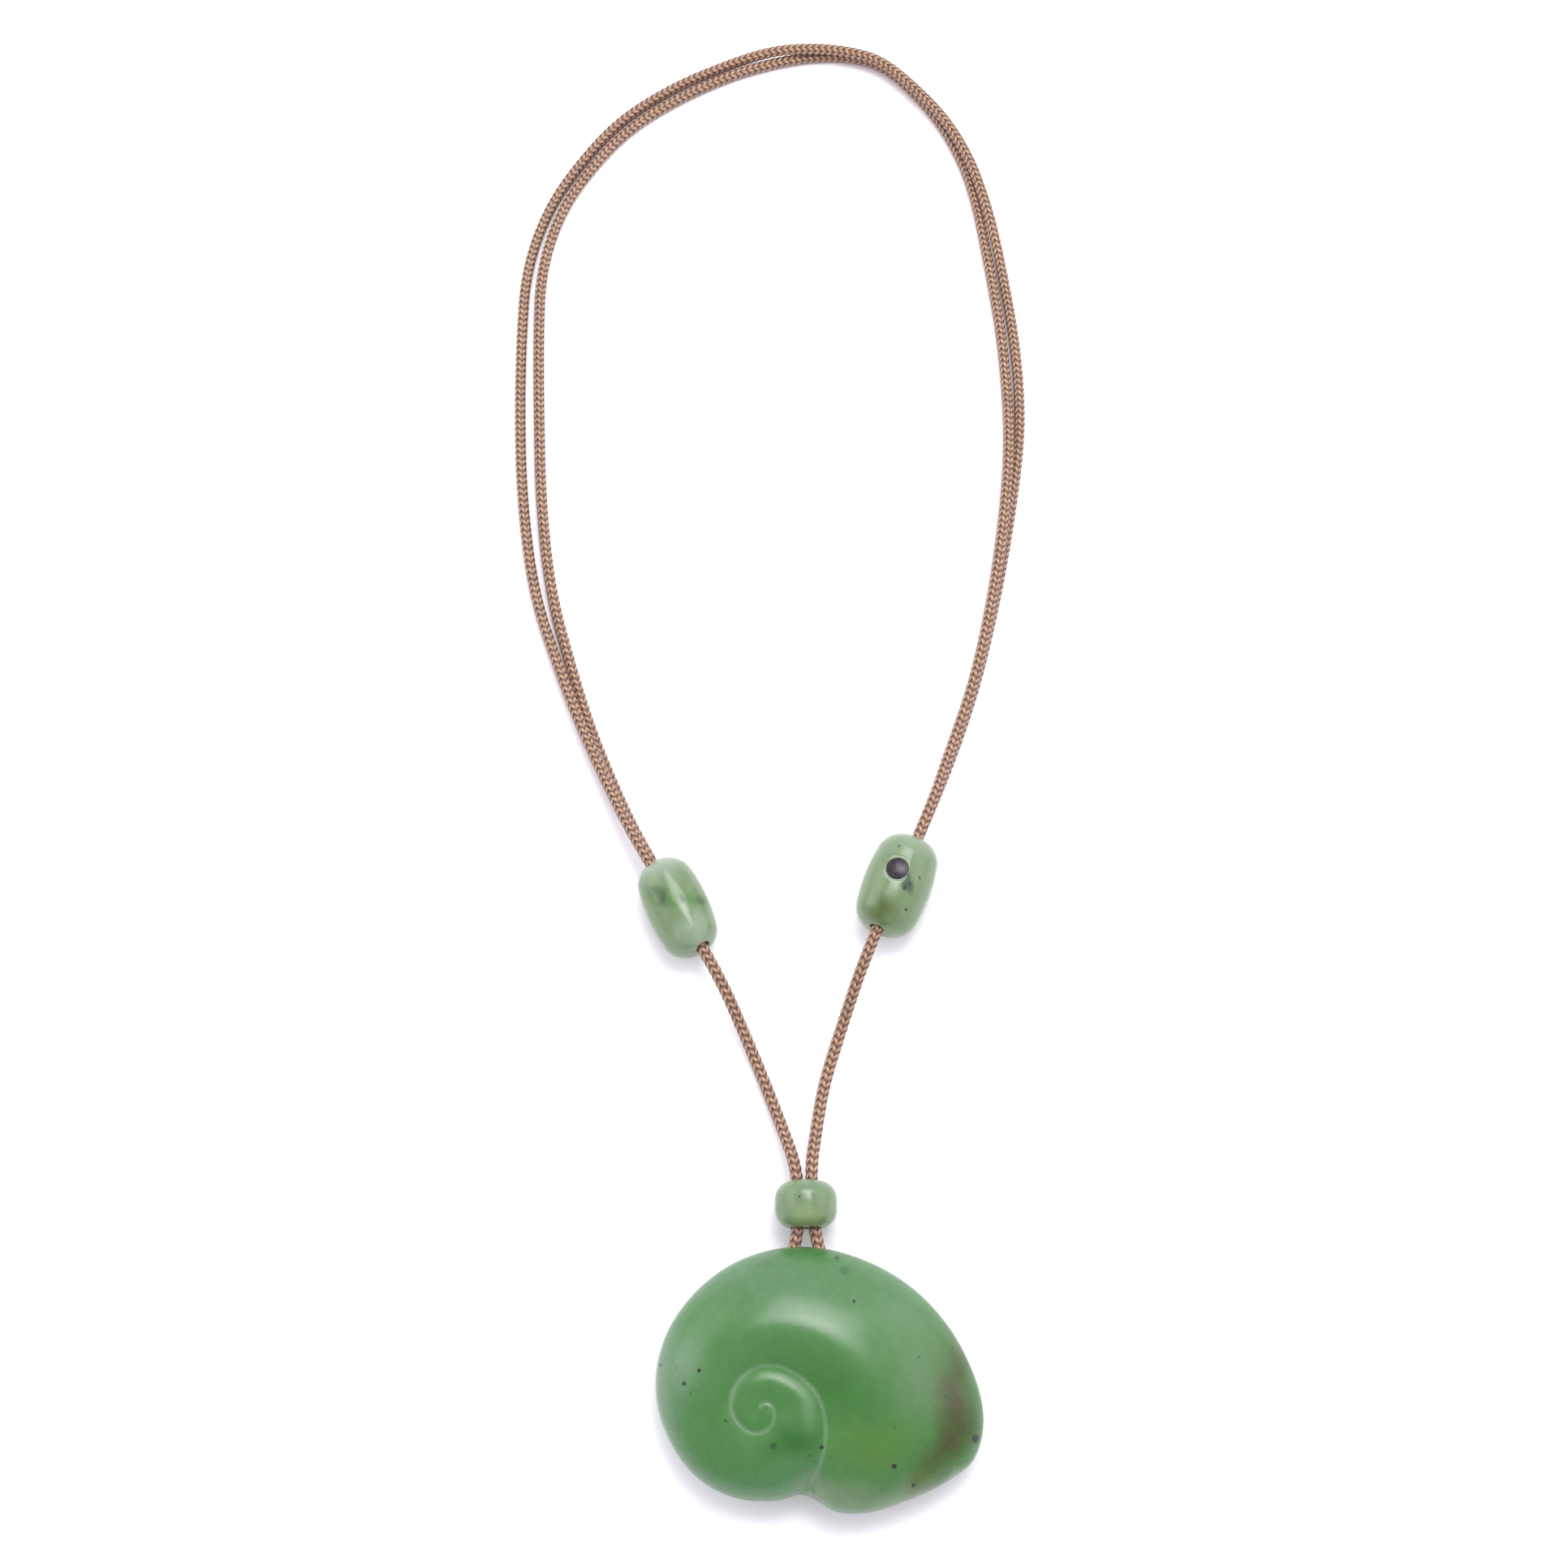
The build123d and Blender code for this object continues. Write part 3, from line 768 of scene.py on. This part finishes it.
def crystals(material, in_mm, specks, dust_gap):
    """How dark the crystals make each place, from 0 to 1."""
    jitter = add_node(
        material, "ShaderNodeTexNoise", {"Vector": in_mm, "Scale": SPECK_RAGGED_WAVES, "Detail": 2.0},
    )
    ragged = add_node(
        material, "ShaderNodeVectorMath",
        {0: jitter.outputs["Color"], 1: (SPECK_RAGGED, SPECK_RAGGED, SPECK_RAGGED), 2: in_mm},
        operation="MULTIPLY_ADD",
    )
    middle = SPECK_RAGGED / 2
    dark = 0.0
    for x, y, z, size, depth in specks:
        offset = add_node(
            material, "ShaderNodeVectorMath",
            {0: ragged.outputs[0], 1: (x + middle, y + middle, z + middle)}, operation="SUBTRACT",
        )
        flat = add_node(
            material, "ShaderNodeVectorMath",
            {0: offset.outputs[0], 1: (1.0, 1.0, SPECK_Z_WEIGHT)}, operation="MULTIPLY",
        )
        distance = add_node(material, "ShaderNodeVectorMath", {0: flat.outputs[0]}, operation="LENGTH")
        spot = add_node(
            material, "ShaderNodeMapRange",
            {"Value": distance.outputs["Value"], "From Min": 0.5 * size, "From Max": size,
             "To Min": depth, "To Max": 0.0},
        )
        darker = add_node(material, "ShaderNodeMath", {0: dark, 1: spot.outputs[0]}, operation="MAXIMUM")
        dark = darker.outputs[0]
    cells = add_node(
        material, "ShaderNodeTexVoronoi", {"Vector": in_mm, "Scale": 1 / dust_gap, "Randomness": 1.0},
    )
    dust = add_node(
        material, "ShaderNodeMapRange",
        {"Value": cells.outputs["Distance"], "From Min": DUST_INNER, "From Max": DUST_OUTER,
         "To Min": DUST_DARKNESS, "To Max": 0.0},
    )
    darker = add_node(material, "ShaderNodeMath", {0: dark, 1: dust.outputs[0]}, operation="MAXIMUM")
    return darker.outputs[0]


# The crystals that can be seen: place, radius, how dark
SHELL_SPECKS = [
    # x, y, z, size, depth
    (11.1, 21.0, 7.4, 0.50, 0.75),
    (12.2, 19.0, 9.0, 0.95, 0.30),
    (13.4, 14.5, 11.7, 0.28, 1.0),
    (9.7, 10.4, 14.0, 0.28, 0.60),
    (12.9, 9.9, 13.6, 0.24, 1.0),
    (-14.5, 5.9, 7.1, 0.34, 1.0),
    (-12.0, 5.3, 9.9, 0.22, 0.80),
    (-8.8, 4.9, 11.8, 0.38, 1.0),
    (-10.9, 3.2, 10.7, 0.40, 1.0),
    (-9.9, 1.9, 11.2, 0.20, 0.85),
    (8.0, 5.7, 14.2, 0.22, 0.80),
    (12.5, 4.4, 14.2, 0.26, 0.60),
    (22.6, 6.8, 11.0, 0.28, 0.70),
    (-10.0, -2.1, 10.3, 0.20, 0.80),
    (-4.9, -1.9, 11.9, 0.24, 0.90),
    (1.8, -5.3, 12.6, 0.62, 0.60),
    (8.6, -5.4, 11.3, 0.46, 1.0),
    (9.7, -6.8, 11.1, 0.24, 0.85),
    (6.9, -6.5, 11.5, 0.17, 0.70),
    (6.6, -8.2, 9.8, 0.30, 0.35),
    (5.7, -9.8, 8.6, 0.18, 0.60),
    (18.9, -2.8, 13.1, 0.34, 1.0),
    (18.8, -7.9, 11.2, 0.44, 1.0),
    (21.6, -10.4, 8.2, 0.42, 1.0),
    (30.7, -4.2, 6.8, 0.80, 1.0),
    (26.2, 1.4, 10.1, 0.34, 0.50),
]
print(len(SHELL_SPECKS), "crystals in the shell, besides the dust")

# %% [markdown]
# The finish brings these together. A crystal lets no light in, so the glow stops there. Polish is never
# even: the same fine noise that mottles the colour makes some places a little rougher and lifts others by a
# few microns.

# %% Jade
JADE_IOR = 1.61
JADE_GLOW_DEPTH = 2.2 * MM       # how deep light goes in
JADE_GLOW_COLOURS = (0.7, 1.0, 0.6)         # green goes deepest
MOTTLE_SHARE = 0.06              # lighter and darker than the shade
POLISH_CHANGE = 0.04             # rougher and smoother than the mean
POLISH_HEIGHT = 0.03 * MM        # of the ripples that polishing leaves


def jade(name, base, clouds, specks, shade, roughness, shine, glow, mottle, dust_gap, groove_highlight):
    """Polished jade: a base colour, clouds of colour, specks, and fine mottling."""
    material = new_material(name)
    in_mm = millimetres(material)
    colour = clouded(material, in_mm, base, clouds)
    # a painted highlight along the groove's line
    if groove_highlight:
        colour = painted_highlight_at_groove(material, colour, groove_highlight)
    fine = add_node(
        material, "ShaderNodeTexNoise", {"Vector": in_mm, "Scale": mottle, "Detail": 6.0, "Roughness": 0.6},
    )
    shading = add_node(
        material, "ShaderNodeMapRange",
        {"Value": fine.outputs["Fac"], "From Min": NOISE_LOW, "From Max": NOISE_HIGH,
         "To Min": shade * (1 - MOTTLE_SHARE), "To Max": shade * (1 + MOTTLE_SHARE)},
    )
    mottled = add_node(
        material, "ShaderNodeVectorMath", {0: colour, "Scale": shading.outputs[0]}, operation="SCALE",
    )
    dark = crystals(material, in_mm, specks, dust_gap)
    inside = add_node(material, "ShaderNodeMapRange", {"Value": dark, "To Min": glow, "To Max": 0.0})
    specked = add_node(
        material, "ShaderNodeMix",
        {MIX_FACTOR: dark, MIX_A: mottled.outputs[0], MIX_B: linear(SPECK_COLOUR)}, data_type="RGBA",
    )
    polish = add_node(
        material, "ShaderNodeMapRange",
        {"Value": fine.outputs["Fac"],
         "To Min": roughness - POLISH_CHANGE, "To Max": roughness + POLISH_CHANGE},
    )
    ripple = add_node(
        material, "ShaderNodeBump",
        {"Height": fine.outputs["Fac"], "Distance": POLISH_HEIGHT, "Strength": 0.05},
    )
    stone = add_node(
        material, "ShaderNodeBsdfPrincipled",
        {"Base Color": specked.outputs[MIX_RESULT], "Roughness": polish.outputs[0], "IOR": JADE_IOR,
         "Specular IOR Level": shine, "Subsurface Weight": inside.outputs[0],
         "Subsurface Radius": JADE_GLOW_COLOURS, "Subsurface Scale": JADE_GLOW_DEPTH,
         "Normal": ripple.outputs["Normal"]},
    )
    add_node(material, "ShaderNodeOutputMaterial", {"Surface": stone.outputs[0]})
    return material


shell_jade = jade(
    "nephrite_satin_polished", "#4d9242", SHELL_CLOUDS, SHELL_SPECKS,
    shade=0.585, roughness=0.27, shine=0.42, glow=0.45, mottle=0.55, dust_gap=7.0,
    groove_highlight=0.34,
)
shell.data.materials.clear()
shell.data.materials.append(shell_jade)
print("shell jade:", len(shell_jade.node_tree.nodes), "nodes")

# %% [markdown]
# The three beads are a paler jade with a higher polish, as small beads are tumbled. Their CAD shapes are
# already the turned barrels with their bored holes, so they stay and only get this finish. One material
# serves all three, because its clouds lie in space where each bead has them.

# %% Bead jade
BEAD_CLOUDS = [
    # x, y, z, length, width, turn, strength, colour
    (-13.2, 75.8, 9, 8, 2.6, 0, 0.85, "#57903a"),
    (-16.2, 75.6, 9.4, 1.0, 2.0, 20, 0.85, "#2c5630"),
    (-13.6, 75.8, 10, 0.9, 1.8, 20, 0.75, "#2c5630"),
    (-10.2, 76.0, 9, 1.8, 1.3, 0, 0.65, "#35642c"),
    # painted light: paler at the left bead's lower end, lifting the shade there
    (-10.5, 69.5, 8, 5, 5, 0, 0.75, "#b9cdb3"),
    (-17.5, 82.0, 6, 6, 5, 0, 0.80, "#c3cec4"),
    (18.6, 73.6, 9, 3.0, 2.8, 0, 0.95, "#5f7216"),
    (22.4, 77.6, 10, 1.6, 2.4, 20, 0.75, "#33473a"),
    (23.0, 85.0, 8, 7, 5, 0, 0.5, "#b4c6b4"),
    (6.6, 31.8, 8, 4.5, 2.2, 0, 0.40, "#8cac8e"),
    # the stone's yellow-green, made paler as painted light to lift the shade at the spacer's lower end
    (6.6, 26.6, 7, 5.0, 2.2, 0, 0.60, "#b4cc90"),
    (2.0, 28.8, 6, 0.8, 1.3, 0, 0.9, "#3e3a46"),
]
BEAD_SPECKS = [
    # x, y, z, size, depth
    (-12.4, 67.3, 7.8, 0.22, 0.85),
    (22.3, 73.7, 9.7, 0.30, 0.90),
    (24.5, 78.8, 9.9, 0.26, 0.90),
    (21.1, 70.3, 8.5, 0.26, 0.80),
    (21.4, 83.9, 10.2, 0.24, 0.80),
    (5.6, 29.7, 9.3, 0.22, 0.90),
    (22.4, 79.0, 10.7, 0.45, 0.75),
    (23.0, 77.6, 10.6, 0.40, 0.70),
    (22.0, 76.9, 10.8, 0.35, 0.80),
]
bead_jade = jade(
    "nephrite_tumble_polished", "#8ea97a", BEAD_CLOUDS, BEAD_SPECKS,
    shade=0.60, roughness=0.19, shine=0.40, glow=0.9, mottle=0.5, dust_gap=5.0,
    groove_highlight=0.0,
)
for name in ("spacer_bead", "slide_bead_left", "slide_bead_right"):
    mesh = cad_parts[name].data
    mesh.materials.clear()
    mesh.materials.append(bead_jade)
print("bead jade:", len(bead_jade.node_tree.nodes), "nodes")

# %% [markdown]
# The inlay in the right bead is a small disc of dark shell, polished smooth. Shell is laid down in thin
# layers, and where the polish cuts through them they show as cloudy light and dark patches with a
# purple-grey cast.

# %% Dark shell of the inlay
inlay_shell = new_material("dark_shell_polished")
layers = add_node(
    inlay_shell, "ShaderNodeTexNoise",
    {"Vector": millimetres(inlay_shell), "Scale": 1.8, "Detail": 5.0, "Roughness": 0.7, "Distortion": 1.5},
)
patches = add_node(inlay_shell, "ShaderNodeValToRGB", {"Fac": layers.outputs["Fac"]})
patches.color_ramp.elements[0].position = 0.45
patches.color_ramp.elements[0].color = linear("#0c090e")
patches.color_ramp.elements[1].position = 0.60
patches.color_ramp.elements[1].color = linear("#342c35")
inlay_polish = add_node(
    inlay_shell, "ShaderNodeBsdfPrincipled",
    {"Base Color": patches.outputs["Color"], "Roughness": 0.30, "IOR": 1.45},
)
add_node(inlay_shell, "ShaderNodeOutputMaterial", {"Surface": inlay_polish.outputs[0]})
inlay_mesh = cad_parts["inlay_disc"].data
inlay_mesh.materials.clear()
inlay_mesh.materials.append(inlay_shell)
print("inlay finish:", inlay_shell.name)

# %% [markdown]
# The cord is spun polyester, braided tight. Each point of the strands carries how high it lies, and the
# colour is painted by that, so it follows the braid exactly: a sandy painted highlight where a strand lies
# high, and painted shade where it dives under its neighbour. The yarn in a strand is twisted; its plies are
# about a tenth of a millimetre, too fine to show, so they are drawn twice as coarse.

# %% Braided polyester
PLY_GAP = 0.24                   # mm along the strand, twice the real one so that it shows
PLY_HEIGHT = 0.05 * MM
DYE_WEAKEST, DYE_STRONGEST = 0.84, 1.12        # how unevenly the yarn took its colour

braided = new_material("polyester_braided")
strand_place = add_node(braided, "ShaderNodeAttribute", attribute_name="strand_place")
split = add_node(braided, "ShaderNodeSeparateXYZ", {0: strand_place.outputs["Vector"]})
depth = add_node(braided, "ShaderNodeValToRGB", {"Fac": split.outputs["Z"]})
# how high the yarn lies, as a share of the cord's radius, and its colour there: painted shade deep down, the
# yarn's own colour in between, a painted highlight on top
shade_and_highlight_ramp = depth.color_ramp
shade_and_highlight_ramp.elements[0].position = 0.66
shade_and_highlight_ramp.elements[0].color = linear("#240e06")
shade_and_highlight_ramp.elements[1].position = 1.0
shade_and_highlight_ramp.elements[1].color = linear("#c09a7c")
middle = shade_and_highlight_ramp.elements.new(0.88)
middle.color = linear("#6c4c35")
uneven = add_node(
    braided, "ShaderNodeTexNoise", {"Vector": millimetres(braided), "Scale": 0.8, "Detail": 4.0},
)
dye = add_node(
    braided, "ShaderNodeMapRange",
    {"Value": uneven.outputs["Fac"], "From Min": NOISE_LOW, "From Max": NOISE_HIGH,
     "To Min": DYE_WEAKEST, "To Max": DYE_STRONGEST},
)
# the painted shade and highlight, made uneven by the dye
dyed_with_painted_shade = add_node(
    braided, "ShaderNodeVectorMath", {0: depth.outputs["Color"], "Scale": dye.outputs[0]}, operation="SCALE",
)
plies = add_node(
    braided, "ShaderNodeMath",
    {0: split.outputs["Y"], 1: BRAID_TURN / MM / PLY_GAP, 2: split.outputs["X"]}, operation="MULTIPLY_ADD",
)
wave = add_node(braided, "ShaderNodeMath", {0: plies.outputs[0], 1: 1.0}, operation="PINGPONG")
yarn = add_node(
    braided, "ShaderNodeBump", {"Height": wave.outputs[0], "Distance": PLY_HEIGHT, "Strength": 0.5},
)
cord_surface = add_node(
    braided, "ShaderNodeBsdfPrincipled",
    {"Base Color": dyed_with_painted_shade.outputs[0], "Roughness": 0.45, "IOR": 1.5, "Normal": yarn.outputs["Normal"],
     "Sheen Weight": 0.4, "Sheen Roughness": 0.5, "Sheen Tint": linear("#b9b2c6")},
)
add_node(braided, "ShaderNodeOutputMaterial", {"Surface": cord_surface.outputs[0]})
for piece in (cord_right, cord_left):
    piece.data.materials.append(braided)
print("cord finish:", braided.name)

# %% [markdown]
# The table and the light. The picture was taken in a tent of white cloth on a white table. One large soft
# box stands beyond the nape end of the necklace, about 25 degrees from straight up: shadows fall towards
# the viewer, and they lean outwards on both sides, so the box is centred and near. Its cloth is brighter
# where the lamp is, so a small light stands just in front of it. A large weak one on each side gives the
# stones their pale shoulders.

# %% Table
FLOOR_SIZE = 3.0                 # m
PAPER_TOOTH_WAVES = 900.0        # per metre
PAPER_TOOTH_HEIGHT = 0.02 * MM

bpy.ops.object.select_all(action="DESELECT")
bpy.ops.mesh.primitive_plane_add(size=FLOOR_SIZE, location=(0, 0.1, 0))
floor = bpy.context.object
floor.name = "white_table"
bpy.ops.object.transform_apply(location=True, rotation=False, scale=False)
paper = new_material("white_paper_matt")
place = add_node(paper, "ShaderNodeTexCoord")
tooth = add_node(
    paper, "ShaderNodeTexNoise",
    {"Vector": place.outputs["Object"], "Scale": PAPER_TOOTH_WAVES, "Detail": 2.0},
)
tooth_bump = add_node(
    paper, "ShaderNodeBump",
    {"Height": tooth.outputs["Fac"], "Distance": PAPER_TOOTH_HEIGHT, "Strength": 0.1},
)
paper_surface = add_node(
    paper, "ShaderNodeBsdfPrincipled",
    {"Base Color": linear("#fbfafe"), "Roughness": 0.9, "Normal": tooth_bump.outputs["Normal"]},
)
add_node(paper, "ShaderNodeOutputMaterial", {"Surface": paper_surface.outputs[0]})
floor.data.materials.append(paper)
print("table:", FLOOR_SIZE, "m square")

# %% Lights
# name, place, what it faces, width, height, watts
LIGHTS = [
    ("soft_box_back", (0.05, 0.27, 0.46), (0.0, 0.08, 0.0), 0.34, 0.30, 1.45),
    ("soft_box_lamp", (0.065, 0.20, 0.45), (0.0, 0.08, 0.0), 0.13, 0.11, 0.26),
    ("soft_box_left", (-0.44, 0.24, 0.26), (0.0, 0.02, 0.0), 0.44, 0.40, 0.7),
    ("soft_box_right", (0.44, 0.24, 0.26), (0.0, 0.02, 0.0), 0.44, 0.40, 0.5),
]
for name, place, aim, width, height, watts in LIGHTS:
    bpy.ops.object.select_all(action="DESELECT")
    facing = (Vector(aim) - Vector(place)).to_track_quat("-Z", "Y").to_euler()
    bpy.ops.object.light_add(type="AREA", location=place, rotation=facing)
    light = bpy.context.object
    light.name = name
    light.data.shape = "RECTANGLE"
    light.data.size = width
    light.data.size_y = height
    light.data.energy = watts

WORLD_STRENGTH = 1.02
world = bpy.data.worlds.new("white_tent")
world.use_nodes = True
world.node_tree.nodes["Background"].inputs["Color"].default_value = linear("#f5f2fb")
world.node_tree.nodes["Background"].inputs["Strength"].default_value = WORLD_STRENGTH
bpy.context.scene.world = world
bpy.context.scene.view_settings.view_transform = "Standard"
print("lights:", ", ".join(name for name, *_ in LIGHTS))
